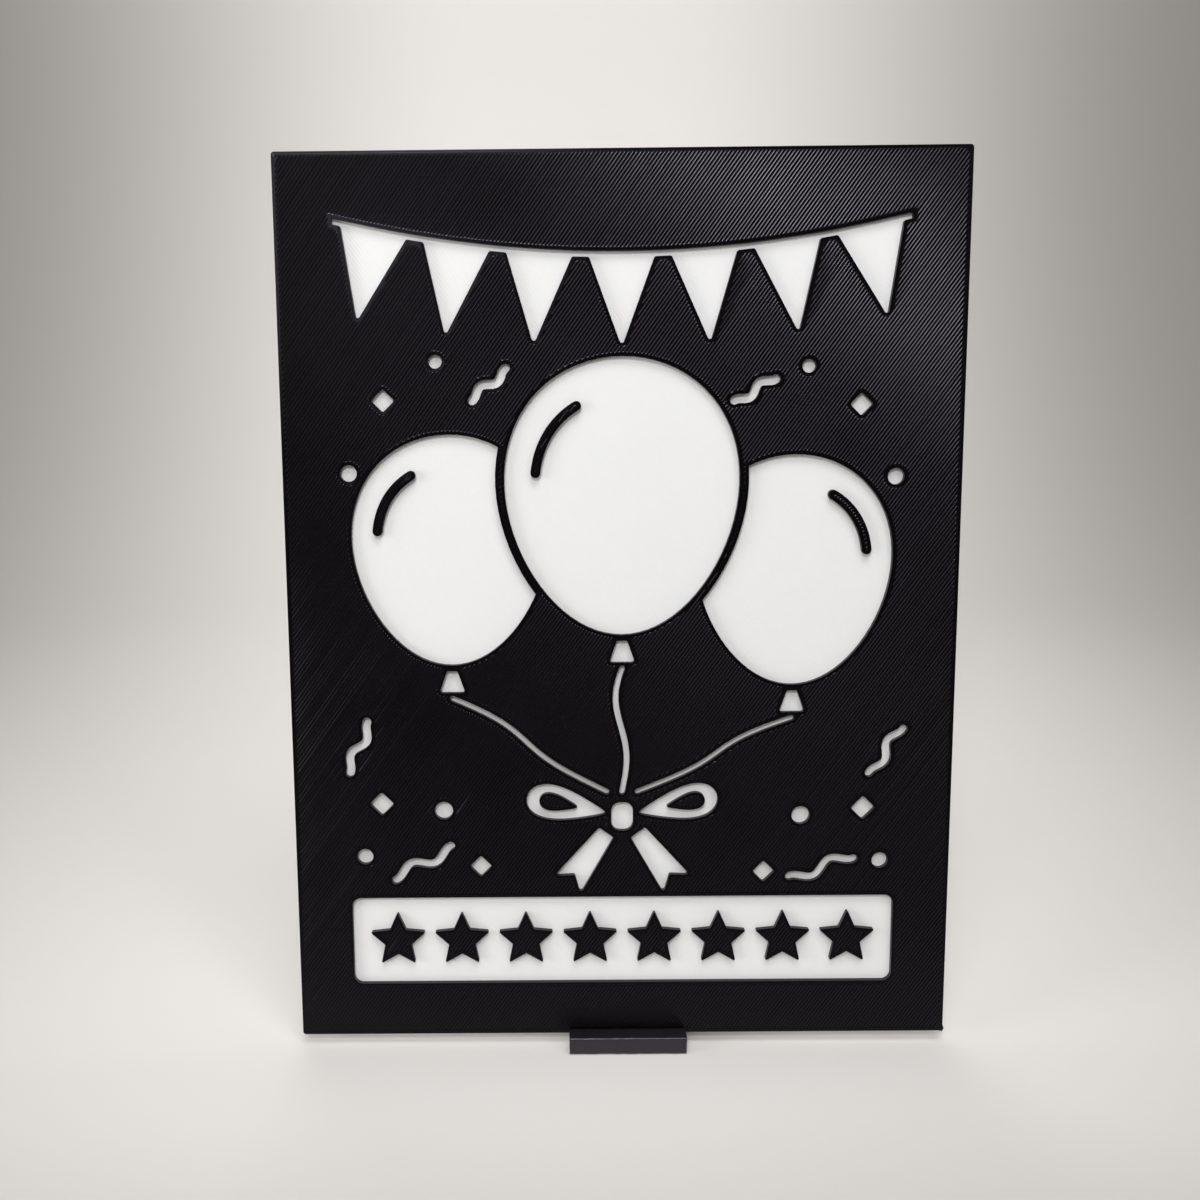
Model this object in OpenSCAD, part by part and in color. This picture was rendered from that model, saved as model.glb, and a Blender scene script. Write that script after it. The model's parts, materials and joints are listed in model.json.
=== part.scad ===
// A two-colour printed party sign that leans back in a small easel stand.
// X runs to the right, Y away from the viewer and Z up. The origin is the middle of the
// stand's underside. Lengths are millimetres and angles are degrees.

/* [Sign] */
// Width of both plates
sign_w = 180; // [178:1:210]
// Height of both plates along their slope
sign_h = 240; // [236:1:270]
// Thickness of the white back plate
back_t = 2; // [1.2:0.2:3]
// Thickness of the black face plate and of the loose islands
face_t = 1.6; // [0.8:0.2:2.4]
// Radius of the plates' corners
plate_r = 0.8; // [0.4:0.1:2]
// Black border from the plate's edge to the nearest window
border = 15; // [12:0.5:15]

/* [Bunting] */
// Pennants on the garland
pennants = 7; // [5:2:7]
// Width of one pennant at the cord
pennant_w = 17; // [10:0.5:17]
// Length of one pennant
pennant_h = 23; // [16:0.5:24]
// How far the garland sags in the middle
sag = 9; // [4:0.5:10]
// Width of the garland's cord and of the balloons' strings
cord_w = 1.6; // [1.2:0.1:2.2]

/* [Balloons] */
// Width of the middle balloon
big_w = 62; // [54:1:64]
// Height of the middle balloon
big_h = 74; // [66:1:76]
// Width of a side balloon
small_w = 52; // [46:1:53]
// Height of a side balloon
small_h = 62; // [54:1:64]
// Sideways place of the side balloons
spread = 46; // [42:1:47]
// Black stroke between overlapping shapes
stroke = 2.4; // [1.6:0.1:3]
// How much a balloon narrows towards its knot
taper = 0.13; // [0.05:0.01:0.2]

/* [Bow and bar] */
// Length of one loop of the bow
loop_l = 22; // [18:0.5:24]
// Width of one loop of the bow
loop_w = 14; // [12:0.5:15]
// Height of the bar at the foot of the sign
bar_h = 25; // [22:0.5:26]
// Stars in the bar
stars = 8; // [5:1:9]
// Radius of a star's points
star_r = 8.2; // [6:0.1:8.4]

/* [Stand] */
// Backward lean of the sign from the vertical
lean = 10; // [8:1:12]
// Width of the stand
stand_w = 32.6; // [26:0.2:60]
// Height of the front lip
lip_h = 5.4; // [5:0.1:8]
// Depth of the front lip at its top
lip_d = 4.9; // [3:0.1:7]
// Height of the sign's front bottom edge above the table
seat_h = 3.7; // [3:0.1:4.2]
// Play between the lip and the sign
slot_play = 0.5; // [0.3:0.1:1]
// Length of the backrest along the sign
rest_l = 92; // [70:1:120]
// Distance from the seat to the stand's tail
tail_y = 68; // [60:1:90]
// Thickness of the stand's legs
leg_t = 5; // [4:0.5:7]
// How far the sign is set to the left of the stand's middle
sign_shift = 1.4; // [0:0.1:5]

/* [Hidden] */
$fn = 96;
STARS = [for (i = [1:stars]) str("bar_star_", i)];
SHINES = ["shine_left", "shine_middle", "shine_right"];
EYES = ["bow_eye_left", "bow_eye_right"];

WHITE = "#f2f0ee";
BLACK = "#17171a";
sign_t = back_t + face_t;

// Radii of the windows' corners
bar_r = 2.4;
fine_r = 0.6;
star_corner_r = 0.3;

// Steps along a curve, round an outline, round a corner and round a band's end
curve_n = 24;
outline_n = 72;
corner_n = 6;
end_n = 8;

// Directions in the side view, as pairs of Y and Z
up_dir = [sin(lean), cos(lean)];
back_dir = [cos(lean), -sin(lean)];
// The sign's front bottom edge in the side view, before the origin is centred
front_edge = [0, seat_h];
back_edge = front_edge + sign_t * back_dir;
lip_foot = front_edge - slot_play * back_dir;
lip_back = lip_foot + (lip_h - lip_foot.y) / up_dir.y * up_dir;
lip_front_y = lip_back.x - lip_d;
centre_y = (lip_front_y + tail_y) / 2;

// Radii of the stand's edges, from the lip's foot round to the heel, and of its opening
foot_r = 0.8;
lip_r = 0.5;
slot_r = 0.4;
rest_r = 1.6;
top_r = 2.4;
tail_r = 2;
heel_r = 1;
opening_r = 3;
// Thickness of the stand's top
top_t = leg_t + 1.5;

// Places on the sign's face, from the middle of its bottom edge
window_edge = sign_w / 2 - border;
bar_w = 2 * window_edge;
bar_top = border + bar_h;
bar_y = border + bar_h / 2;
garland_y = sign_h - border - cord_w;
garland_gap = stroke + 3;
left_drop = 14;
right_drop = 20;
big_at = [0, sign_h - border - sag - pennant_h - garland_gap - big_h / 2];
left_at = big_at + [-spread, -left_drop];
right_at = big_at + [spread, -right_drop];
bow_rise = 23;
bow_at = [0, bar_top + bow_rise];

// A knot widens from its neck to its foot
knot_l = 6;
knot_w = 7;
knot_neck = 2.8;
knot_gap = 1.6;

// A shine follows a smaller balloon, from an angle off the top and through a turn
shine_w = 2.6;
shine_share = 0.74;
shine_from = 28;
shine_turn = 48;

// The strings end side by side over the bow
string_gap = 2 * cord_w + 1;
string_end = 7;
big_wave = -2;
left_wave = 3;
right_wave = -3;

// The bow's middle, its loops with their eyes, and its tails
bow_w = 6;
bow_h = 8;
loop_at = [bow_w / 2 + 1.6, 1];
loop_turn = 12;
loop_neck = 0.38;
eye_from = 0.36;
eye_share = 0.48;
tail_at = [4.3, -4.6];
tail_l = 18.5;
tail_w = 9;
tail_top_w = 5;
tail_notch = 3.6;
tail_turn = 36;

// The inner corners of a star, as a share of its points' radius, and the room past the last star
star_waist = 0.47;
star_room = 0.4;

// Confetti on the right: distance in from the window edge, height, size and, for streamers, turn
dots = [[4, bar_top + 12, 4.4], [26, bar_top + 25, 5], [2.5, big_at.y + 7, 4.4],
        [26, big_at.y + 36, 3.6]];
diamonds = [[36, bar_top + 9, 4.4], [9, bar_top + 27, 4.8], [12, big_at.y + 26, 4.4]];
streamers = [[20, bar_top + 10, 18, 24], [3, bar_top + 43, 15, 62], [40, big_at.y + 30, 12, 35]];
streamer_w = 1.5 * cord_w;
wave_share = 0.075;
wave_turn = 540;
// How much lower the confetti lies on the right than on the left
right_sink = 2;

// Polygons

// A vector of length one
function unit(v) = v / norm(v);

// An angle brought into the range from -180 to 180
function short_turn(a) = a - 360 * round(a / 360);

// The arc that rounds one corner, or the corner itself where the radius is nothing
function corner(before, at, after, r, n = corner_n) =
    r == 0 ? [at] :
    let (
        a = unit(before - at),
        b = unit(after - at),
        half = acos(a * b) / 2,
        centre = at + unit(a + b) * r / sin(half),
        from = at + a * r / tan(half) - centre,
        to = at + b * r / tan(half) - centre,
        start = atan2(from.y, from.x),
        turn = short_turn(atan2(to.y, to.x) - start)
    )
    [for (i = [0:n]) centre + r * [cos(start + turn * i / n), sin(start + turn * i / n)]];

// A polygon with each corner rounded. radii is one radius, or one for each corner
function rounded(points, radii) =
    let (n = len(points))
    [for (i = [0:n - 1])
        each corner(points[(i + n - 1) % n], points[i], points[(i + 1) % n],
                    is_list(radii) ? radii[i] : radii)];

// Where the line from p along d meets the line from q along e
function meet(p, d, q, e) = p + d * ((q - p).x * e.y - (q - p).y * e.x) / (d.x * e.y - d.y * e.x);

// The direction along a row of points at point i
function along(path, i) = unit(path[min(i + 1, len(path) - 1)] - path[max(i - 1, 0)]);

// A quarter turn to the left
function left_of(v) = [-v.y, v.x];

// A band of width w along a row of points, with round ends
function band(path, w, n = end_n) =
    let (
        last = len(path) - 1,
        first_a = atan2(along(path, 0).y, along(path, 0).x),
        last_a = atan2(along(path, last).y, along(path, last).x)
    )
    concat(
        [for (i = [0:last]) path[i] - left_of(along(path, i)) * w / 2],
        [for (i = [1:n - 1]) path[last] + w / 2 * [cos(last_a - 90 + 180 * i / n),
                                                   sin(last_a - 90 + 180 * i / n)]],
        [for (i = [last:-1:0]) path[i] + left_of(along(path, i)) * w / 2],
        [for (i = [1:n - 1]) path[0] + w / 2 * [cos(first_a + 90 + 180 * i / n),
                                                sin(first_a + 90 + 180 * i / n)]]
    );

// A rectangle about its middle
function box(w, h) = [[-w / 2, -h / 2], [w / 2, -h / 2], [w / 2, h / 2], [-w / 2, h / 2]];

// A star with five points about its middle
function star(r) =
    [for (i = [0:9]) (i % 2 == 0 ? r : r * star_waist) * [sin(36 * i), cos(36 * i)]];

// A point on a balloon's outline. Angle 0 is its top, and grow adds a margin all round
function balloon_point(w, h, a, grow = 0) =
    [(w / 2 + grow) * sin(a) * (1 + taper * cos(a)), (h / 2 + grow) * cos(a)];

function balloon(w, h, grow = 0) =
    [for (i = [0:outline_n - 1]) balloon_point(w, h, -360 * i / outline_n, grow)];

// The highlight's centre line, on the upper left or, with side 1, the upper right of a balloon
function shine_line(w, h, side) =
    [for (i = [0:curve_n])
        let (a = side * (shine_from + shine_turn * i / curve_n))
        shine_share * balloon_point(w, h, a)];

// One loop of the bow, pointing to the right from its narrow end
function loop(l, w) =
    [for (i = [0:outline_n - 1])
        let (a = 360 * i / outline_n)
        [l * (1 + cos(a)) / 2, w / 2 * sin(a) * (1 - loop_neck + loop_neck * cos(a))]];

// A string from p to q with a slight wave that dies down to half
function string_line(p, q, wave) =
    [for (i = [0:curve_n])
        let (t = i / curve_n)
        p + (q - p) * t + [wave * sin(360 * t) * (1 - t / 2), 0]];

// The garland's cord, as a height above the sign's bottom edge
function garland_at(x) = garland_y - sag * (1 - pow(x / window_edge, 2));

// The knot under a balloon, where its string starts
function knot_foot(at, h) = at - [0, h / 2 + knot_gap + knot_l + knot_gap];

// Placing

// From the sign's own plane, with its back at zero, to where it leans in the stand
module on_sign() {
    translate([-sign_shift, back_edge.x - centre_y, back_edge.y])
        rotate([90 - lean, 0, 0])
            children();
}

module plate(from, thick) {
    on_sign()
        translate([0, 0, from])
            linear_extrude(thick)
                children();
}

module island() {
    color(BLACK)
        plate(back_t, face_t)
            children();
}

// Flat shapes

module plate_outline() {
    translate([0, sign_h / 2])
        polygon(rounded(box(sign_w, sign_h), plate_r));
}

// The tip of the pennant that hangs from the garland at x, square to the cord
function pennant_tip(x) =
    let (slope = atan(2 * sag * x / pow(window_edge, 2)))
    [x, garland_at(x)] + (pennant_h + cord_w) * [sin(slope), -cos(slope)];

// A point on the cord's lower edge
function under_cord(x) = [x, garland_at(x) - cord_w];

// The garland is one window: the cord's upper edge from left to right, then its lower edge
// back, with a pennant hanging from each stretch
module garland() {
    pitch = 2 * window_edge / pennants;
    upper = [for (i = [0:2 * curve_n])
        let (x = window_edge * (i / curve_n - 1))
        [x, garland_at(x)]];
    lower = [for (i = [pennants - 1:-1:0])
        let (x = (i - (pennants - 1) / 2) * pitch)
        each [under_cord(x + pitch / 2), under_cord(x + pennant_w / 2), pennant_tip(x),
              under_cord(x - pennant_w / 2)]];
    lower_r = [for (i = [1:pennants]) each [0, fine_r, fine_r, fine_r]];
    corners = concat(upper, lower, [under_cord(-window_edge)]);
    radii = concat([for (point = upper) 0], lower_r, [0]);
    polygon(rounded(corners, radii));
}

module knot(at, h) {
    corners = [[-knot_neck / 2, 0], [-knot_w / 2, -knot_l], [knot_w / 2, -knot_l], [knot_neck / 2, 0]];
    translate(at - [0, h / 2 + knot_gap])
        polygon(rounded(corners, fine_r));
}

module balloon_string(at, h, wave) {
    end = bow_at + [sign(at.x) * string_gap, string_end];
    polygon(band(string_line(knot_foot(at, h), end, wave), cord_w));
}

module big_balloon(grow = 0) {
    translate(big_at)
        polygon(balloon(big_w, big_h, grow));
}

module side_balloon(at) {
    difference() {
        translate(at)
            polygon(balloon(small_w, small_h));
        big_balloon(stroke);
    }
}

module shine(at, w, h, side) {
    translate(at)
        polygon(band(shine_line(w, h, side), shine_w));
}

// One side of the bow, on the right or, with side -1, on the left
module bow_side(side) {
    translate(bow_at)
        mirror([side < 0 ? 1 : 0, 0])
            children();
}

module on_loop() {
    translate(loop_at)
        rotate(loop_turn)
            children();
}

module bow_loop() {
    on_loop()
        polygon(loop(loop_l, loop_w));
}

// The island in a loop, where the ribbon leaves a hole
module loop_eye() {
    on_loop()
        translate([loop_l * eye_from, 0])
            polygon(loop(loop_l * eye_share, loop_w * eye_share));
}

// A tail that widens to a notched end
module bow_tail() {
    corners = [[-tail_top_w / 2, 0], [-tail_w / 2, -tail_l], [0, tail_notch - tail_l],
               [tail_w / 2, -tail_l], [tail_top_w / 2, 0]];
    translate(tail_at)
        rotate(tail_turn)
            polygon(rounded(corners, fine_r));
}

module bow() {
    translate(bow_at)
        polygon(rounded(box(bow_w, bow_h), bar_r));
    for (side = [-1, 1])
        bow_side(side) {
            bow_loop();
            bow_tail();
        }
}

module bar() {
    translate([0, bar_y])
        polygon(rounded(box(bar_w, bar_h), bar_r));
}

module star_outline(i) {
    pitch = bar_w / (stars + star_room);
    translate([(i - (stars + 1) / 2) * pitch, bar_y])
        polygon(rounded(star(star_r), star_corner_r));
}

module diamond(w) {
    rotate(45)
        polygon(rounded(box(w, w), fine_r));
}

module streamer(l, turn) {
    path = [for (i = [0:curve_n])
        let (t = i / curve_n - 1 / 2)
        l * [t, wave_share * sin(wave_turn * t)]];
    rotate(turn)
        polygon(band(path, streamer_w));
}

// Confetti on both sides, with the left as the right's uneven reflection
module confetti() {
    for (side = [-1, 1])
        mirror([side < 0 ? 1 : 0, 0])
            translate([window_edge, side < 0 ? 0 : -right_sink]) {
                for (piece = dots)
                    translate([-piece[0], piece[1]])
                        circle(d = piece[2]);
                for (piece = diamonds)
                    translate([-piece[0], piece[1]])
                        diamond(piece[2]);
                for (piece = streamers)
                    translate([-piece[0], piece[1]])
                        streamer(piece[2], side * piece[3]);
            }
}

module windows() {
    garland();
    big_balloon();
    side_balloon(left_at);
    side_balloon(right_at);
    knot(big_at, big_h);
    knot(left_at, small_h);
    knot(right_at, small_h);
    balloon_string(big_at, big_h, big_wave);
    balloon_string(left_at, small_h, left_wave);
    balloon_string(right_at, small_h, right_wave);
    bow();
    bar();
    confetti();
}

// Pieces

module back_plate() {
    color(WHITE)
        plate(0, back_t)
            plate_outline();
}

module face_plate() {
    color(BLACK)
        plate(back_t, face_t)
            difference() {
                plate_outline();
                windows();
            }
}

// The shines, eyes and stars touch only the white plate

module shine_left() {
    island()
        shine(left_at, small_w, small_h, -1);
}

module shine_middle() {
    island()
        shine(big_at, big_w, big_h, -1);
}

module shine_right() {
    island()
        shine(right_at, small_w, small_h, 1);
}

module bow_eye(side) {
    island()
        bow_side(side)
            loop_eye();
}

module bar_star(i) {
    island()
        star_outline(i);
}

// The stand's side view, drawn with Y to the right and Z up
module stand_profile() {
    rest_top = back_edge + rest_l * up_dir;
    rest_back = rest_top + top_t * back_dir;
    tail_top = [tail_y, leg_t];
    leg_dir = unit(tail_top - rest_back);
    leg_inner = rest_back - leg_t * left_of(leg_dir);
    rest_inner = back_edge + leg_t * back_dir;
    floor_dir = [1, 0];
    floor_inner = [0, leg_t];
    outer = [[lip_front_y, 0], [lip_front_y, lip_h], lip_back, lip_foot, back_edge,
             rest_top, rest_back, tail_top, [tail_y, 0]];
    outer_r = [foot_r, lip_r, slot_r, 0, 0, rest_r, top_r, tail_r, heel_r];
    inner = [meet(rest_inner, up_dir, floor_inner, floor_dir),
             meet(leg_inner, leg_dir, floor_inner, floor_dir),
             meet(rest_inner, up_dir, leg_inner, leg_dir)];
    difference() {
        polygon(rounded(outer, outer_r));
        polygon(rounded(inner, opening_r));
    }
}

module easel_stand() {
    color(BLACK)
        translate([-stand_w / 2, -centre_y, 0])
            rotate([90, 0, 90])
                linear_extrude(stand_w)
                    stand_profile();
}

back_plate();
face_plate();
shine_left();
shine_middle();
shine_right();
bow_eye(-1);  // bow_eye_left
bow_eye(1);  // bow_eye_right
for (i = [1:stars])
    bar_star(i);
easel_stand();
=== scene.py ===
# %% [markdown]
# A party sign made on a 3-D printer
#
# The real object is three prints. A white plate was laid down first, a black plate with windows
# was printed on top of it, and a small black easel was printed on its side. Everything that the
# eye reads as "printed" is the path of a nozzle: lines of plastic about 0.4 mm wide, side by side
# on top of a piece, and layers 0.2 mm thick, one over the other, on its walls.
# Those lines could be a bump pattern in a material. Here they are geometry instead, because the
# photo's light glints along them, and because the same lines then exist in every view.

import json
import math
from types import SimpleNamespace

import bpy
import numpy as np
from mathutils import Matrix, Vector


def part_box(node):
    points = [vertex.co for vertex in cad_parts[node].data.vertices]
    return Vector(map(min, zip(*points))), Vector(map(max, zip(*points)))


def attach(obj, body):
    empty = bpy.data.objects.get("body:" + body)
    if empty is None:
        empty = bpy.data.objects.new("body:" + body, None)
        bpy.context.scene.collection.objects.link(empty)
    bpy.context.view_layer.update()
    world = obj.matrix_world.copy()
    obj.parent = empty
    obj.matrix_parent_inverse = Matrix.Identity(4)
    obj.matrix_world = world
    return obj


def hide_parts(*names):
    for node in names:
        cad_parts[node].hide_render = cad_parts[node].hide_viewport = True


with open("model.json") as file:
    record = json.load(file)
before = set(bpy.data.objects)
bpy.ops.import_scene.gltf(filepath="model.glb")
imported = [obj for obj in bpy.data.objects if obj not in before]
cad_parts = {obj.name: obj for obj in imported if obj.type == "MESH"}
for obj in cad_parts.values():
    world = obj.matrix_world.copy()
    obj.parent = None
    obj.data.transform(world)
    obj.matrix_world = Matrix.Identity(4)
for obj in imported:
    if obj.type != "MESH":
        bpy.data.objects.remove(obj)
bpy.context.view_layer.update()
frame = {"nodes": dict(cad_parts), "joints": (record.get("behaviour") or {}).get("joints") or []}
mm = 0.001

# %% [markdown]
# Flat sides
#
# Every piece is a prism: a flat outline with a thickness. So the work is done on flat sides, each
# with its own right, up and out directions. The sign's up direction is the way it lifts out of the
# stand, which the part's one joint already holds.

# %% Directions of the flat sides
class Side:
    """A flat side, with points given as right, up and out."""

    def __init__(self, right, up):
        self.axes = np.array([right, up, np.cross(right, up)], float)

    def flat(self, points):
        return points @ self.axes.T

    def world(self, points):
        return points @ self.axes


across = np.array([1.0, 0.0, 0.0])
lift = np.array(frame["joints"][0]["axis"], float)
lift /= np.linalg.norm(lift)
sign_front = Side(across, lift)
sign_back = Side(-across, lift)
stand_right = Side((0, 1, 0), (0, 0, 1))
stand_left = Side((0, -1, 0), (0, 0, 1))
print("the sign leans back", round(math.degrees(math.asin(lift[1])), 2), "degrees")

# %% [markdown]
# Outlines
#
# The windows' outlines are already in the black plate, so they are read from its front side and
# not drawn again. A triangle's edge that no other front triangle shares is on an outline, and
# following such edges head to tail gives closed loops. Triangles wind the same way, so plastic is
# always on the left of a loop: outer loops run anticlockwise, and windows clockwise.

# %% Read a prism's caps and loops
NEAR = 2e-6
WELD_DIGITS = 7


def read_prism(node, side):
    mesh = frame["nodes"][node].data
    mesh.calc_loop_triangles()
    raw = np.array([v.co for v in mesh.vertices])
    points, index = np.unique(np.round(raw, WELD_DIGITS), axis=0, return_inverse=True)
    index = index.reshape(-1)
    flat = side.flat(points)
    top, bottom = flat[:, 2].max(), flat[:, 2].min()
    triangles = index[np.array([t.vertices for t in mesh.loop_triangles])]
    cap = triangles[(flat[triangles, 2] > top - NEAR).all(axis=1)]
    edges = {(a, b) for t in cap.tolist() for a, b in zip(t, t[1:] + t[:1])}
    following = {a: b for a, b in edges if (b, a) not in edges}
    loops = []
    while following:
        start, at = following.popitem()
        loop = [start]
        while at != start:
            loop.append(at)
            at = following.pop(at)
        loops.append(np.array(loop))
    return SimpleNamespace(side=side, xy=flat[:, :2], cap=cap, loops=loops, top=top, bottom=bottom)


face = read_prism("face_plate", sign_front)
print("loops on the black plate:", len(face.loops), "with", sum(map(len, face.loops)), "points")

# %% [markdown]
# Walls of stacked layers
#
# A printed wall isn't flat: each layer bulges a little between the seams above and below it. The
# wall is made of rows of points down the outline, pulled in by a few hundredths of a millimetre at
# every seam. The node's own cap triangles close the top and the bottom, so the result is one
# closed solid that stays inside the CAD piece.

# %% Find the way into the plastic
TINY = 1e-12


def unit(v):
    return v / np.maximum(np.linalg.norm(v, axis=-1, keepdims=True), TINY)


def left_of(v):
    return np.stack([-v[..., 1], v[..., 0]], axis=-1)


def inward(points, longest=2.0):
    """The way into the plastic at each point of a loop, long enough to move its edges by one."""
    ahead = unit(np.roll(points, -1, axis=0) - points)
    behind = np.roll(ahead, 1, axis=0)
    middle = unit(left_of(ahead) + left_of(behind))
    stretch = np.maximum((middle * left_of(ahead)).sum(axis=1, keepdims=True), 1 / longest)
    return middle / stretch


print("the black plate is", (np.ptp(face.xy, axis=0) / mm).round(1), "mm across and up")

# %% Set out the rows of a wall
LAYER = 0.2 * mm
SEAM = 0.025 * mm


def layer_rows(top, bottom):
    """Depths and insets of a wall's rows: a bulge in the middle of each layer, a seam between."""
    count = max(round((top - bottom) / LAYER), 1)
    depths = np.linspace(top, bottom, 2 * count + 1)
    insets = np.where(np.arange(2 * count + 1) % 2 == 0, SEAM, 0.0)
    insets[[0, -1]] = 0.0
    return depths, insets


def swayed(count, most, seed, period=16):
    """Gentle insets from 0 to most for a number of rows, as a printer's small drift gives them."""
    knots = np.random.default_rng(seed).uniform(0, most, count // period + 2)
    at = np.arange(count) / period
    k, part = at.astype(int), at % 1
    part = part * part * (3 - 2 * part)
    return knots[k] * (1 - part) + knots[k + 1] * part


print("layers in the black plate:", len(layer_rows(face.top, face.bottom)[0]) // 2)

# %% Make a stack of layers
SWAY_SEED = 6


def stack(prism, relief_top, relief_bottom, sway=0.0):
    """Points and faces of a prism with layered walls. The reliefs leave room for printed lines."""
    ids = np.concatenate(prism.loops)
    place = {v: k for k, v in enumerate(ids.tolist())}
    xy = prism.xy[ids]
    pull = np.concatenate([inward(prism.xy[loop]) for loop in prism.loops])
    depths, insets = layer_rows(prism.top - relief_top, prism.bottom + relief_bottom)
    insets = insets + swayed(len(insets), sway, SWAY_SEED)
    rows = [np.column_stack([xy + pull * i, np.full(len(ids), d)]) for d, i in zip(depths, insets)]
    n, last, faces = len(ids), (len(depths) - 1) * len(ids), []
    for loop in prism.loops:
        ring = [place[v] for v in loop.tolist()]
        for a, b in zip(ring, ring[1:] + ring[:1]):
            faces += [(a + r, a + r + n, b + r + n, b + r) for r in range(0, last, n)]
    for t in prism.cap.tolist():
        a, b, c = (place[v] for v in t)
        faces += [(a, b, c), (a + last, c + last, b + last)]
    return np.concatenate(rows), faces


print("seams are pulled in by", round(SEAM / mm, 3), "mm")

# %% [markdown]
# One printed line
#
# A line of plastic is pressed flat by the nozzle: wider than it is high, with a soft crest. It is
# swept along a flat path as a closed solid whose foot is sunk in the piece under it. A curve with
# a bevel object could do that, but its radius changes width and height together. The section's
# points run anticlockwise as seen from the front of the line, so that all faces look outwards.
# Four points are enough, because smooth shading rounds the two upper edges.

# %% Sweep a line along a path
LINE = 0.42 * mm
ROUND = np.array([(0.5, -0.25), (0.2, 1.0), (-0.2, 1.0), (-0.5, -0.25)])
EDGED = np.array([(0.5, -0.25), (0.3, 1.0), (-0.4, 0.85), (-0.5, -0.25)])
SHARPEST_BEND = 0.8


def sweep(path, floor, width, height, section=ROUND, closed=False):
    """Points and faces of a line along path. width and height are numbers, or one for each point."""
    step = unit(np.diff(path, axis=0, append=path[:1]))
    if not closed:
        step[-1] = step[-2]
    before = np.roll(step, 1, axis=0)
    if not closed:
        before[0] = step[0]
    lateral = unit(left_of(step) + left_of(before))
    lateral /= np.maximum((lateral * left_of(step)).sum(axis=1, keepdims=True), SHARPEST_BEND)
    high, wide = np.broadcast_to(height, len(path)), np.broadcast_to(width, len(path))
    xy = path[:, None, :] + lateral[:, None, :] * (section[None, :, :1] * wide[:, None, None])
    z = floor + high[:, None] * section[None, :, 1]
    points = np.concatenate([xy, z[:, :, None]], axis=2).reshape(-1, 3)
    k, n = len(section), len(path)
    faces = []
    for i in range(n if closed else n - 1):
        here, there = i * k, (i + 1) % n * k
        faces += [(here + j, here + (j + 1) % k, there + (j + 1) % k, there + j) for j in range(k)]
    if not closed:
        faces += [tuple(range(k - 1, -1, -1)), tuple(range((n - 1) * k, n * k))]
    return points, faces


print("a line is", round(LINE / mm, 2), "mm wide, with", len(ROUND), "points in its section")

# %% [markdown]
# Borders
#
# A slicer first draws two lines round every outline, the first half a line into the plastic and
# the second a whole line further. Moving a loop sideways makes small knots in tight corners, so
# points that end up nearer to the outline than they should be are dropped.

# %% Space, measure and thin out a loop
SHORT_EDGE, LONG_EDGE = 0.15 * mm, 1.5 * mm
TINY_SQUARE = 1e-18
TOO_FEW = 3


def spaced(points, longest):
    """The loop with extra points, so that no edge is longer than that."""
    ends = np.roll(points, -1, axis=0)
    parts = []
    for a, b in zip(points, ends):
        n = max(int(np.ceil(np.linalg.norm(b - a) / longest)), 1)
        parts.append(a + (b - a) * (np.arange(n) / n)[:, None])
    return np.concatenate(parts)


def gap_to(points, loop):
    """The distance from each point to the nearest edge of a loop."""
    along = np.roll(loop, -1, axis=0) - loop
    size = np.maximum((along ** 2).sum(axis=1), TINY_SQUARE)
    nearest = np.full(len(points), np.inf)
    for start, way, square in zip(loop, along, size):
        t = np.clip(((points - start) @ way) / square, 0, 1)
        nearest = np.minimum(nearest, np.linalg.norm(points - start - t[:, None] * way, axis=1))
    return nearest


def plain(points, bend=0.004):
    """The loop without the points that lie on a straight stretch."""
    ahead = unit(np.roll(points, -1, axis=0) - points)
    behind = np.roll(ahead, 1, axis=0)
    turn = ahead[:, 0] * behind[:, 1] - ahead[:, 1] * behind[:, 0]
    keep = np.abs(turn) > bend
    return points[keep] if keep.sum() > TOO_FEW else points


rim = max((face.xy[loop] for loop in face.loops), key=np.ptp)
print("points round the sign's rim:", len(rim), "and", len(spaced(rim, LONG_EDGE)), "when spaced")

# %% Move a loop into the plastic
BORDER_LINES = 2
EDGES_PER_SIZE = 40
KNOT = 0.015 * mm


def inset(loop, distance):
    """The loop, moved into the plastic by that distance."""
    size = np.ptp(loop, axis=0).max()
    fine = spaced(loop, min(max(size / EDGES_PER_SIZE, SHORT_EDGE), LONG_EDGE))
    moved = fine + inward(fine) * distance
    moved = moved[gap_to(moved, loop) > distance - KNOT]
    return plain(moved) if len(moved) > TOO_FEW else moved


def inset_loops(prism, distance):
    """All loops of a prism, moved into the plastic, without those that vanish."""
    moved = [inset(prism.xy[loop], distance) for loop in prism.loops]
    return [loop for loop in moved if len(loop) > TOO_FEW]


def borders(prism, floor, height):
    """The border lines round every outline of a prism's top."""
    made = []
    for loop in prism.loops:
        for i in range(BORDER_LINES):
            path = inset(prism.xy[loop], (i + 0.5) * LINE)
            if len(path) > TOO_FEW:
                made.append(sweep(path, floor, LINE, height, EDGED, closed=True))
    return made


print("points of the first border round the rim:", len(inset(rim, 0.5 * LINE)))

# %% [markdown]
# Filling
#
# Inside the borders the nozzle runs to and fro on a slant. On the photo the slanting lines rise to
# the right at about 54 degrees. They could be drawn as one grid and cut by a Boolean modifier, but
# thousands of thin cuts are slow and leave ragged ends. Here the outlines are turned until the
# slant lies level, and each level lane is cut into the stretches that are inside plastic.

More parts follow.
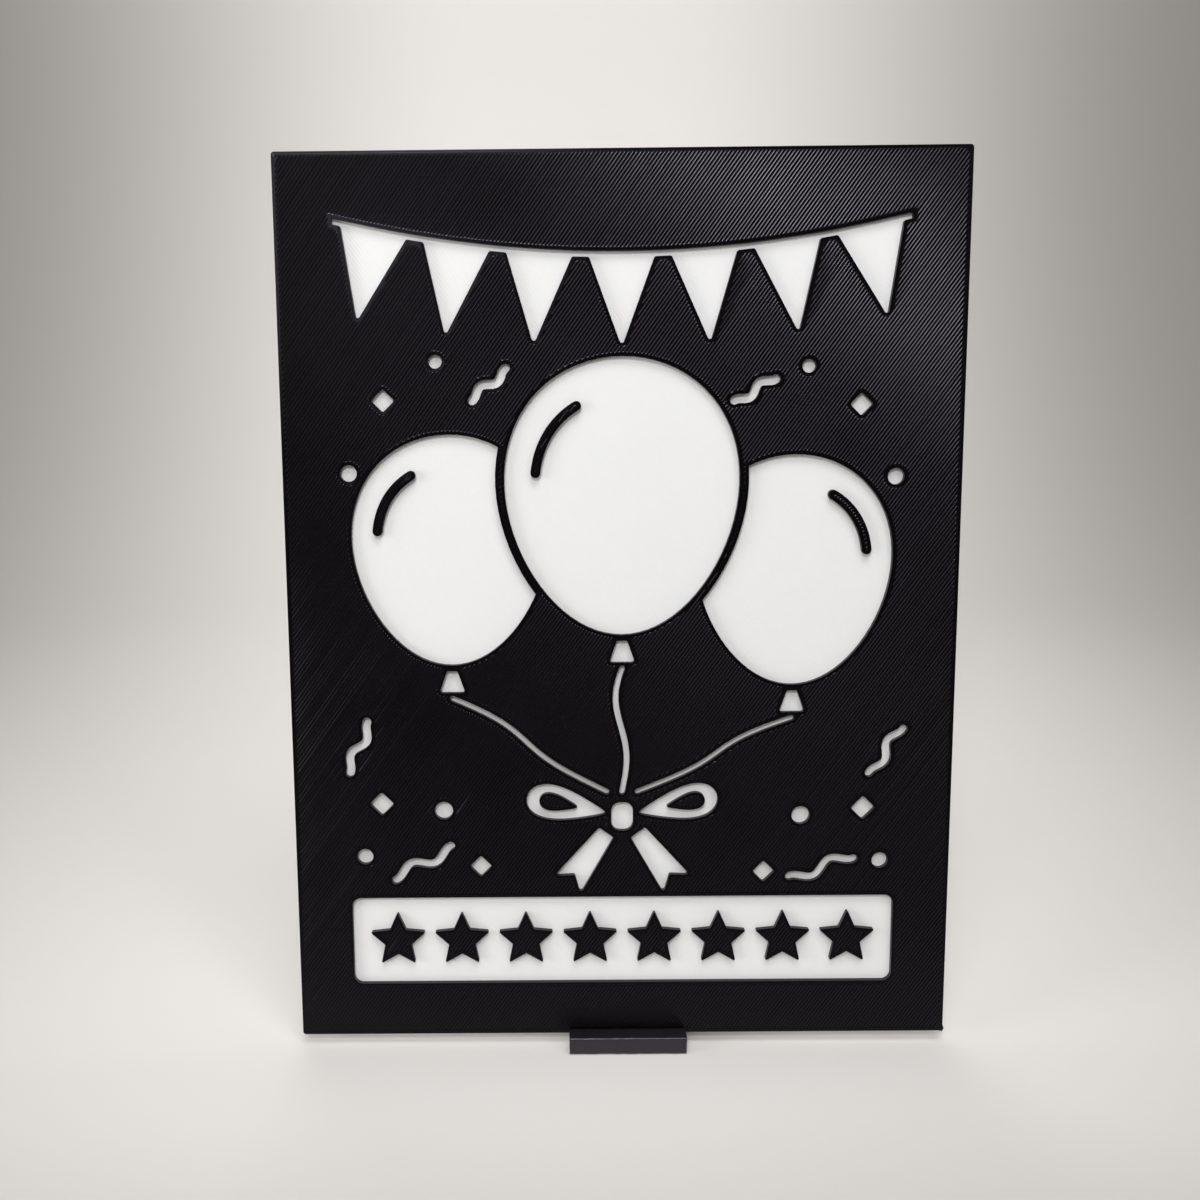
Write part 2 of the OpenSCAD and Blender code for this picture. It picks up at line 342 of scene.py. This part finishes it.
# %% Cut a lane into stretches
def spans(loops, t):
    """Where the lane at height t is inside the loops, as sorted pairs."""
    found = []
    for loop in loops:
        a, b = loop, np.roll(loop, -1, axis=0)
        cut = (a[:, 1] > t) != (b[:, 1] > t)
        s = a[cut, 0] + (t - a[cut, 1]) * (b[cut, 0] - a[cut, 0]) / (b[cut, 1] - a[cut, 1])
        s.sort()
        found += list(zip(s[0::2], s[1::2]))
    return sorted(found)


def without(whole, holes):
    """The stretches of whole that no hole covers."""
    left = []
    for start, end in whole:
        at = start
        for low, high in holes:
            if high <= at or low >= end:
                continue
            if low > at:
                left.append((at, low))
            at = max(at, high)
        if at < end:
            left.append((at, end))
    return left


half_way = spans([rim], rim[:, 1].mean())
print("a level lane half way up the rim:", [f"{(b - a) / mm:.1f} mm" for a, b in half_way])

# %% Set out the lanes
SLANT = math.radians(54)
WOBBLE = 0.006 * mm
PAIR = 0.015 * mm
SHORT_STRETCH = 0.1 * mm


def turned(points, angle):
    c, s = math.cos(angle), math.sin(angle)
    return points @ np.array([[c, -s], [s, c]])


def area(loop):
    """A loop's area, which is negative for a window."""
    nxt = np.roll(loop, -1, axis=0)
    return (loop[:, 0] * nxt[:, 1] - loop[:, 1] * nxt[:, 0]).sum() / 2


def lanes(loops, angle, trim, rng):
    """The lanes at that angle, each as its height and its stretches inside the loops."""
    slanted = [turned(loop, angle) for loop in loops]
    outer = [loop for loop in slanted if area(loop) > 0]
    holes = [loop for loop in slanted if area(loop) <= 0]
    low = min(loop[:, 1].min() for loop in outer)
    high = max(loop[:, 1].max() for loop in outer)
    made = []
    for i in range(int((high - low) / LINE)):
        t = low + (i + 0.5) * LINE + (PAIR if i % 2 == 0 else -PAIR) + rng.normal(0, WOBBLE)
        cut = without(spans(outer, t), spans(holes, t))
        made.append((t, [(a + trim, b - trim) for a, b in cut if b - a > 2 * trim + SHORT_STRETCH]))
    return made


windows = [face.xy[loop][::-1] for loop in face.loops if area(face.xy[loop]) < 0]
print("windows:", len(windows), "with", round(sum(map(area, windows)) / mm ** 2), "square mm")

# %% [markdown]
# The nozzle's path
#
# The nozzle doesn't lift between two lanes: it turns back along the border and lays the next one.
# Stretches of neighbouring lanes are joined at alternate ends where those ends are near one
# another, and each chain of them is swept as one line with round turns.
# On the photo two lines read as one wide ridge, because a line leans on the one laid before it.
# So the section is skewed. It needs no second shape for the way back: the sweep's left side
# changes with its direction, which mirrors the section on every second lane.

# %% Join stretches into chains
REACH = 1.5 * mm


def partner(stretch, others, end, taken):
    """The free stretch of the next lane that can be reached from this one's end."""
    best = None
    for k, other in enumerate(others):
        away = abs(other[end] - stretch[end])
        if k not in taken and away < REACH and (best is None or away < best[0]):
            best = (away, k)
    return None if best is None else best[1]


def chains(rows):
    """Lists of lane and stretch numbers that the nozzle lays in one go."""
    onward, reached = {}, set()
    for i in range(len(rows) - 1):
        taken = set()
        for k, stretch in enumerate(rows[i][1]):
            found = partner(stretch, rows[i + 1][1], 1 - i % 2, taken)
            if found is not None:
                taken.add(found)
                onward[i, k] = (i + 1, found)
                reached.add((i + 1, found))
    made = []
    for i, (_, cut) in enumerate(rows):
        for k in range(len(cut)):
            if (i, k) not in reached:
                chain = [(i, k)]
                while chain[-1] in onward:
                    chain.append(onward[chain[-1]])
                made.append(chain)
    return made


print("the nozzle turns back where two ends are within", round(REACH / mm, 2), "mm")

# %% Lay the path
PAIRED = np.array([(0.55, -0.25), (0.5, 1.0), (-0.1, 0.72), (-0.5, -0.25)])
STRIDE = 8 * mm
LEAD = 0.4 * mm
SHORTEST_LED = 4 * LEAD
TURN = 0.2 * mm
TURN_STEPS = (0.25, 0.5, 0.75)
USUAL_HEIGHT, HEIGHT_SPREAD, RIPPLE, LEAST_HEIGHT = 0.9, 0.05, 0.02, 0.1


def stretch_stops(start, end):
    """Places along a stretch, and how many of them drift. A short lead keeps each end straight."""
    if abs(end - start) < SHORTEST_LED:
        return np.array([start, end]), 2
    lead = math.copysign(LEAD, end - start)
    count = max(int(abs(end - start) / STRIDE), 1) + 1
    return np.r_[start, np.linspace(start + lead, end - lead, count), end], count


def chain_path(chain, rows, rng):
    """The path of a chain, with round turns, and each point's share of the full height."""
    path, heights = [], []
    for i, k in chain:
        t, cut = rows[i]
        ends = cut[k] if i % 2 == 0 else cut[k][::-1]
        high = USUAL_HEIGHT + rng.normal(0, HEIGHT_SPREAD)
        if path:
            (s0, t0), way = path[-1], (1 if i % 2 else -1)
            for bend in TURN_STEPS:
                s = s0 + (ends[0] - s0) * bend + way * TURN * math.sin(bend * math.pi)
                path.append((s, (t0 + t) / 2 - (t - t0) / 2 * math.cos(bend * math.pi)))
                heights.append(high)
        stops, count = stretch_stops(*ends)
        sway, ripple = rng.normal(0, WOBBLE, count), rng.normal(0, RIPPLE, count)
        if len(stops) > count:
            sway, ripple = (np.r_[drawn[0], drawn, drawn[-1]] for drawn in (sway, ripple))
        path += list(zip(stops, t + sway))
        heights += list(high + ripple)
    return np.array(path), np.array(heights).clip(LEAST_HEIGHT, 1)


def filling(loops, floor, height, angle, seed, trim=TURN):
    """The slanting lines inside a set of loops."""
    rng = np.random.default_rng(seed)
    rows = lanes(loops, angle, trim, rng)
    made = []
    for chain in chains(rows):
        path, share = chain_path(chain, rows, rng)
        made.append(sweep(turned(path, -angle), floor, LINE, height * share, PAIRED))
    return made


print("lines are about", USUAL_HEIGHT, "of their full height, with a point every", STRIDE / mm, "mm")

# %% [markdown]
# Pieces
#
# One function turns points and faces into a Blender object. It takes several solids at once, moves
# them from the flat side to the world, shades soft bends smoothly and keeps true corners sharp.
# The solids of a piece overlap instead of being joined by Booleans, as the lines of a print do.

# %% Make an object from solids
RELIEF = 0.1 * mm
BACK_RELIEF = 0.02 * mm
FILL_GAP = 0.36
FILL_INSET = BORDER_LINES * LINE + FILL_GAP * LINE


def build(name, side, solids, body, sharp=40):
    points, faces, count = [], [], 0
    for some_points, some_faces in solids:
        points.append(side.world(some_points))
        faces += [tuple(v + count for v in f) for f in some_faces]
        count += len(some_points)
    mesh = bpy.data.meshes.new(name)
    mesh.from_pydata(np.concatenate(points), [], faces)
    mesh.shade_smooth()
    mesh.set_sharp_from_angle(angle=math.radians(sharp))
    piece = bpy.data.objects.new(name, mesh)
    bpy.context.scene.collection.objects.link(piece)
    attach(piece, body)
    print(name, len(mesh.vertices), "points", len(faces), "faces")
    return piece


print("lines are up to", round(RELIEF / mm, 2), "mm high on black,", round(BACK_RELIEF / mm, 2), "on white")

# %% [markdown]
# The black plate
#
# This is the second colour of the sign: eight layers with the windows cut right through. It could
# be one mesh with its lines as displacement, but lines this fine would need millions of faces.
# Three light pieces do the same: the stack of layers, and on its floor the borders and the slanting
# lines. The stack stands in for the CAD node, and the lines fill the height that it leaves free.

# %% Print the black plate
face_floor = face.top - RELIEF
face_stack = build("face_print", sign_front, [stack(face, RELIEF, 0)], "sign")
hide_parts("face_plate")
face_rims = borders(face, face_floor, RELIEF)
face_borders = build("face_borders", sign_front, face_rims, "sign")
face_fill = filling(inset_loops(face, FILL_INSET), face_floor, RELIEF, SLANT, seed=1)
face_lines = build("face_lines", sign_front, face_fill, "sign")

# %% [markdown]
# Lumps in the corners
#
# Where the nozzle starts and stops a border it leaves a small lump. On the photo they sit in the
# top left and the bottom right corner, and the lower one bulges a little past the edge. Each is a
# few short lines, thin at both ends and thick in the middle, laid over one another.

# %% Lumps where the borders start and stop
LUMP = 0.5 * mm
LUMPS_PER_CORNER, LUMP_POINTS = 5, 7
LUMP_END = 0.15
LUMP_PLACES, LUMP_LENGTHS = (0.25, 3.0), (1.5, 3.0)
LUMP_TURN = 0.5
LUMP_HEIGHT, BULGE_HEIGHT = 1.5 * RELIEF, 1.2 * RELIEF
BULGE_PLACE = np.array([-0.2, 1.4])
BULGE_LENGTH, BULGE_WIDTH = 4 * LUMP, 1.6 * LUMP
BULGE_SLANT = math.radians(88)


def lump(middle, angle, length, width, height):
    """A short line that swells in the middle."""
    along = np.linspace(-0.5, 0.5, LUMP_POINTS)
    path = middle + along[:, None] * length * np.array([math.cos(angle), math.sin(angle)])
    swell = np.cos(along * math.pi) * (1 - LUMP_END) + LUMP_END
    return sweep(path, face_floor, width * swell, height * swell)


face_low, face_high = face.xy.min(axis=0), face.xy.max(axis=0)
top_left = np.array([face_low[0], face_high[1]])
bottom_right = np.array([face_high[0], face_low[1]])
lump_rng = np.random.default_rng(7)
lumps = []
for corner, way in ((top_left, np.array([1, -1])), (bottom_right, np.array([-1, 1]))):
    for _ in range(LUMPS_PER_CORNER):
        middle = corner + way * lump_rng.uniform(*LUMP_PLACES, 2) * LUMP
        angle = SLANT + lump_rng.normal(0, LUMP_TURN)
        length = lump_rng.uniform(*LUMP_LENGTHS) * LUMP
        lumps.append(lump(middle, angle, length, LUMP, LUMP_HEIGHT))
bulge_middle = bottom_right + BULGE_PLACE * LUMP
lumps.append(lump(bulge_middle, BULGE_SLANT, BULGE_LENGTH, BULGE_WIDTH, BULGE_HEIGHT))
corner_lumps = build("corner_lumps", sign_front, lumps, "sign")

# %% [markdown]
# The loose islands
#
# The shines on the balloons, the eyes of the bow and the stars on the bar are black pieces that
# touch only the white plate. They are printed like the black plate, in the same layers. They could
# be part of its mesh, but each is a piece of its own on the real sign, so each has its own object.
# An island that is no wider than its borders has no slanting lines.

# %% Print the loose islands
ISLANDS = ("shine", "bow_eye", "bar_star")
FIRST_ISLAND_SEED = 10


def print_island(node, seed):
    """One black island, with its layers, borders and slanting lines in one object."""
    prism = read_prism(node, sign_front)
    solids = [stack(prism, RELIEF, 0)] + borders(prism, face_floor, RELIEF)
    fill_loops = inset_loops(prism, FILL_INSET)
    if fill_loops:
        solids += filling(fill_loops, face_floor, RELIEF, SLANT, seed)
    piece = build(node + "_print", sign_front, solids, "sign")
    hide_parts(node)
    return piece


islands = sorted(node for node in frame["nodes"] if node.startswith(ISLANDS))
island_prints = [print_island(node, FIRST_ISLAND_SEED + i) for i, node in enumerate(islands)]
print("islands:", len(island_prints))

# %% [markdown]
# The white plate
#
# The white plate was printed first and carries everything else. Its front shows only in the
# windows, so lines are laid there and run on a little under the black edges. Its back shows whole.
# White plastic hides its lines, so they are much lower than the black ones. A smooth plate would
# do from afar, but close up it would look moulded and not printed.

# %% Print the white plate
UNDER_EDGE = 0.3 * mm

back = read_prism("back_plate", sign_front)
back_layers = [stack(back, BACK_RELIEF, BACK_RELIEF)]
back_stack = build("back_print", sign_front, back_layers, "sign")
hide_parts("back_plate")
white_floor = back.top - BACK_RELIEF
white_fill = filling(windows, white_floor, BACK_RELIEF, -SLANT, seed=2, trim=-UNDER_EDGE)
white_lines = build("window_lines", sign_front, white_fill, "sign")
rear = read_prism("back_plate", sign_back)
rear_floor = rear.top - BACK_RELIEF
rear_solids = borders(rear, rear_floor, BACK_RELIEF)
rear_solids += filling(inset_loops(rear, FILL_INSET), rear_floor, BACK_RELIEF, SLANT, seed=3)
rear_lines = build("rear_lines", sign_back, rear_solids, "sign")

# %% [markdown]
# The stand
#
# The easel was printed lying on its side, so its layers stand upright beside one another and show
# as fine upright lines on the lip. A printer drifts slowly while it lays so many layers, which
# sways the walls by less than a tenth of a millimetre. The CAD solid alone would look moulded, and
# the swaying walls show how it was made. Both flat sides have borders and slanting lines.

# %% Print the stand
STAND_SWAY = 0.09 * mm
STAND_SLANT = math.radians(45)


def side_lines(prism, seed):
    """The lines on one flat side of the stand."""
    floor = prism.top - RELIEF
    fill = filling(inset_loops(prism, FILL_INSET), floor, RELIEF, STAND_SLANT, seed)
    return borders(prism, floor, RELIEF) + fill


stand = read_prism("easel_stand", stand_right)
stand_solids = [stack(stand, RELIEF, RELIEF, STAND_SWAY)] + side_lines(stand, seed=4)
stand_print = build("stand_print", stand_right, stand_solids, "stand")
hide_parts("easel_stand")
bed_solids = side_lines(read_prism("easel_stand", stand_left), seed=5)
stand_bed_lines = build("stand_bed_lines", stand_left, bed_solids, "stand")

# %% [markdown]
# Materials
#
# A finish is a small graph of nodes, and shader maths reads best as plain expressions. A class
# wraps a node's output socket, so that adding or multiplying two of them adds the Math node for
# it. A second class holds a material while it is made, and one method of it makes any other node.

# %% Write shader maths as expressions
def feed(tree, socket, given):
    """Links a wrapped socket to an input, or sets the input to a plain value."""
    if isinstance(given, Value):
        tree.links.new(given.socket, socket)
    else:
        socket.default_value = given


class Value:
    """A socket in a material, with operators that add Math nodes."""

    def __init__(self, tree, socket):
        self.tree, self.socket = tree, socket

    def math(self, operation, *inputs):
        node = self.tree.nodes.new("ShaderNodeMath")
        node.operation = operation
        for socket, given in zip(node.inputs, inputs):
            feed(self.tree, socket, given)
        return Value(self.tree, node.outputs[0])

    def __add__(self, other):
        return self.math("ADD", self, other)

    def __sub__(self, other):
        return self.math("SUBTRACT", self, other)

    def __rsub__(self, other):
        return self.math("SUBTRACT", other, self)

    def __mul__(self, other):
        return self.math("MULTIPLY", self, other)

    __radd__ = __add__
    __rmul__ = __mul__


print("sockets can be added, subtracted and multiplied")

# %% Make nodes and shaders
class Finish:
    """A material under construction."""

    def __init__(self, name):
        self.material = bpy.data.materials.new(name)
        self.material.use_nodes = True
        self.tree = self.material.node_tree
        self.shader = self.tree.nodes["Principled BSDF"]

    def node(self, kind, settings=None, output=None, **inputs):
        """A node's output. Inputs and outputs go by their identifiers, with _ for a space."""
        made = self.tree.nodes.new(kind)
        for key, value in (settings or {}).items():
            setattr(made, key, value)
        for key, given in inputs.items():
            names = (key, key.replace("_", " "))
            feed(self.tree, next(i for i in made.inputs if i.identifier in names), given)
        return Value(self.tree, next(o for o in made.outputs if output in (None, o.identifier)))

    def set(self, **sockets):
        for key, given in sockets.items():
            feed(self.tree, self.shader.inputs[key.replace("_", " ")], given)


def noise(finish, scale, detail):
    """Soft spots from 0 to 1 that are fixed to the object."""
    where = finish.node("ShaderNodeTexCoord", output="Object")
    return finish.node("ShaderNodeTexNoise", Vector=where, Scale=scale, Detail=detail)


def blend(finish, share, low, high):
    """A colour between two others."""
    colours = dict(A_Color=low, B_Color=high)
    return finish.node("ShaderNodeMix", {"data_type": "RGBA"}, "Result_Color", Factor_Float=share, **colours)


print("materials so far:", len(bpy.data.materials))

# %% [markdown]
# Black and white plastic
#
# The black plastic is so dark that the eye sees little more than what it reflects: a glint along
# each line, tinted a little towards violet. The white one lets some light in, which softens its
# lines. Plain colours would look like paint, so a slow cloud and a fine grain of noise change the
# colour and the roughness slightly. They are computed and need no picture.

# %% Black and white plastic
NOISE_MEAN = 0.5
CLOUD_ROUGHNESS, GRAIN_ROUGHNESS, WHITE_GRAIN = 0.12, 0.10, 0.12
VIOLET_TINT = (0.88, 0.84, 1.0, 1)


def black_plastic(name, dark, pale, rough, gloss):
    finish = Finish(name)
    cloud = noise(finish, scale=60.0, detail=2.0)
    grain = noise(finish, scale=2500.0, detail=1.0)
    uneven = rough + (cloud - NOISE_MEAN) * CLOUD_ROUGHNESS + (grain - NOISE_MEAN) * GRAIN_ROUGHNESS
    finish.set(Base_Color=blend(finish, cloud, dark, pale), Roughness=uneven)
    finish.set(Specular_IOR_Level=gloss, Specular_Tint=VIOLET_TINT)
    return finish.material


def white_plastic(name, dark, pale, rough):
    finish = Finish(name)
    cloud = noise(finish, scale=40.0, detail=2.0)
    grain = noise(finish, scale=1800.0, detail=1.0)
    finish.set(Base_Color=blend(finish, cloud, dark, pale))
    finish.set(Roughness=rough + (grain - NOISE_MEAN) * WHITE_GRAIN)
    finish.set(Subsurface_Weight=0.1, Subsurface_Scale=0.4 * mm)
    return finish.material


face_black = black_plastic(
    "face_black", dark=(0.0014, 0.0010, 0.0013, 1), pale=(0.0024, 0.0018, 0.0022, 1), rough=0.21, gloss=0.2)
stand_black = black_plastic(
    "stand_black", dark=(0.004, 0.0035, 0.0045, 1), pale=(0.007, 0.006, 0.0075, 1), rough=0.34, gloss=0.68)
plate_white = white_plastic(
    "plate_white", dark=(0.84, 0.805, 0.80, 1), pale=(0.87, 0.835, 0.825, 1), rough=0.46)
for piece in [face_stack, face_borders, face_lines, corner_lumps] + island_prints:
    piece.data.materials.append(face_black)
for piece in (back_stack, white_lines, rear_lines):
    piece.data.materials.append(plate_white)
for piece in (stand_print, stand_bed_lines):
    piece.data.materials.append(stand_black)
print("materials:", len(bpy.data.materials))

# %% [markdown]
# Studio
#
# The photo was taken in a small white tent: a pale floor that runs up into a pale wall, with no
# line between them. A bent sheet would do for one view. A round floor with a wall all round it
# looks the same from every side. The paper's colour darkens away from the sign, and sooner in
# front of it. This is painted shade for the tent's light falling off, and it also keeps dark the
# floor that the black face reflects.

# %% Floor and backdrop
MIDDLE = Vector((0, -0.35, 0))
ROOM, BEND, WALL = 1.1, 0.35, 1.5
FLAT_EDGE = 0.02
SPOKES, STEPS = 96, 16


def round_backdrop():
    """A round floor that bends up into a wall all round."""
    profile = [(ROOM - BEND - FLAT_EDGE, 0.0)]
    for i in range(STEPS + 1):
        a = math.pi / 2 * i / STEPS
        profile.append((ROOM - BEND + BEND * math.sin(a), BEND - BEND * math.cos(a)))
    profile.append((ROOM, WALL))
    points = [MIDDLE]
    for radius, height in profile:
        for k in range(SPOKES):
            a = math.tau * k / SPOKES
            points.append(MIDDLE + Vector((radius * math.cos(a), radius * math.sin(a), height)))
    faces = []
    for k in range(SPOKES):
        a, b = 1 + k, 1 + (k + 1) % SPOKES
        faces.append((0, a, b))
        for row in range(0, SPOKES * (len(profile) - 1), SPOKES):
            faces.append((a + row, a + row + SPOKES, b + row + SPOKES, b + row))
    mesh = bpy.data.meshes.new("backdrop")
    mesh.from_pydata(points, [], faces)
    mesh.shade_smooth()
    backdrop = bpy.data.objects.new("backdrop", mesh)
    bpy.context.scene.collection.objects.link(backdrop)
    return backdrop


backdrop = round_backdrop()
print("backdrop:", len(backdrop.data.polygons), "faces,", 2 * ROOM, "m across")

# %% Paper of the backdrop
# The near colour is the paper's own pale colour. The far colour is painted shade for the tent's light
# falling off away from the sign.
NEAR_PAPER, SHADED_FAR_PAPER = (0.72, 0.70, 0.68, 1), (0.27, 0.255, 0.24, 1)
FADE_START, FADE_END = 0.06, 0.48
FRONT_STRETCH = (1, 2, 0)
FRONT_ONLY = (9, 0, 0)


def paper_with_painted_shade():
    """Pale paper with painted shade: its colour darkens with the distance from the sign, sooner in front of
    it.
    """
    paper = Finish("paper_with_painted_shade")
    vector_node = "ShaderNodeVectorMath"
    place = paper.node("ShaderNodeNewGeometry", output="Position")
    side = paper.node(vector_node, {"operation": "MULTIPLY"}, Vector=place, Vector_001=FRONT_STRETCH)
    front = paper.node(vector_node, {"operation": "MINIMUM"}, Vector=side, Vector_001=FRONT_ONLY)
    away = paper.node(vector_node, {"operation": "LENGTH"}, "Value", Vector=front)
    smooth = {"interpolation_type": "SMOOTHSTEP"}
    # Painted shade: the paper's colour darkens with the distance from the sign.
    painted_shade = paper.node("ShaderNodeMapRange", smooth, Value=away, From_Min=FADE_START, From_Max=FADE_END)
    paper.set(Base_Color=blend(paper, painted_shade, NEAR_PAPER, SHADED_FAR_PAPER))
    paper.set(Roughness=0.9, Specular_IOR_Level=0.2)
    return paper.material


backdrop.data.materials.append(paper_with_painted_shade())
print("the paper fades from", FADE_START, "to", FADE_END, "m from the sign")

# %% [markdown]
# Lamps
#
# Most of the tent's light comes from above, the left and the right, and none of it shines straight
# back from the black face, which stays black. One lamp in front gives the soft shine at the top
# left, and a small one above it makes the slanting lines glint at the top and the right, as they do
# on the photo. A single large lamp could give the same brightness, but it would light both slopes
# of every line and hide them.

# %% Lamps
def softbox(name, place, target, size, power):
    lamp = bpy.data.lights.new(name, "AREA")
    lamp.shape, lamp.size, lamp.size_y, lamp.energy = "RECTANGLE", size[0], size[1], power
    holder = bpy.data.objects.new(name, lamp)
    holder.location = place
    holder.rotation_euler = (Vector(target) - Vector(place)).to_track_quat("-Z", "Y").to_euler()
    holder.visible_camera = False
    bpy.context.scene.collection.objects.link(holder)


softbox("top_light", place=(0.03, -0.35, 1.0), target=(0, -0.3, 0), size=(0.5, 0.35), power=4.3)
softbox("high_light", place=(0.65, -0.7, 0.75), target=(0, 0, 0), size=(0.4, 0.3), power=1.4)
softbox("left_light", place=(-0.8, -0.35, 0.25), target=(0, 0, 0.05), size=(0.35, 0.3), power=2.6)
softbox("sheen_light", place=(-0.29, -0.81, 0.545), target=(-0.08, 0, 0.22), size=(0.35, 0.35), power=0.95)
softbox("glint_light", place=(-0.13, -0.70, 0.745), target=(0.03, 0, 0.22), size=(0.14, 0.12), power=2.9)
softbox("wall_light", place=(0.03, 0.15, 0.75), target=(0.01, 0.75, 0.5), size=(0.4, 0.3), power=2.0)
softbox("back_light", place=(-0.2, 0.6, 0.6), target=(0, 0.02, 0.1), size=(0.5, 0.4), power=1.0)
world = bpy.data.worlds.new("room")
bpy.context.scene.world = world
world.use_nodes = True
room_light = world.node_tree.nodes["Background"].inputs
room_light["Color"].default_value = (1.0, 0.98, 0.96, 1)
room_light["Strength"].default_value = 0.45
bpy.context.scene.view_settings.view_transform = "Standard"
print("lamps:", len(bpy.data.lights))

# %% [markdown]
# Camera
#
# The four corners of the sign in the photo give the camera's place: level with the sign's top, a
# little left of its middle, and looking down by about 18 degrees, so that the sign's sides draw
# together towards the bottom. The photo was cropped off centre. The lens is shifted sideways for
# that, which moves the picture without turning the camera.

# %% Camera
PHOTO_WIDTH = 1200
FOCAL_PIXELS = 1300
EYE_FROM_FOOT = Vector((-19.39, -310.35, 230.35)) * mm
PHOTO_SHIFT = 59.7
PITCH, YAW, ROLL = math.radians(18.13), math.radians(0.44), math.radians(-0.62)

foot_low, foot_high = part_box("face_plate")
sign_foot = Vector(((foot_low.x + foot_high.x) / 2, foot_low.y, foot_low.z))
camera = bpy.data.cameras.new("camera")
camera.sensor_fit = "HORIZONTAL"
camera.sensor_width = 36
camera.lens = camera.sensor_width * FOCAL_PIXELS / PHOTO_WIDTH
camera.shift_x = PHOTO_SHIFT / PHOTO_WIDTH
eye = bpy.data.objects.new("camera", camera)
aim = Matrix.Rotation(YAW, 4, "Z") @ Matrix.Rotation(math.pi / 2 - PITCH, 4, "X")
eye.matrix_world = Matrix.Translation(sign_foot + EYE_FROM_FOOT) @ aim @ Matrix.Rotation(ROLL, 4, "Z")
bpy.context.scene.collection.objects.link(eye)
bpy.context.scene.camera = eye
print("lens", round(camera.lens, 1), "mm, eye at", [round(v, 3) for v in eye.location])
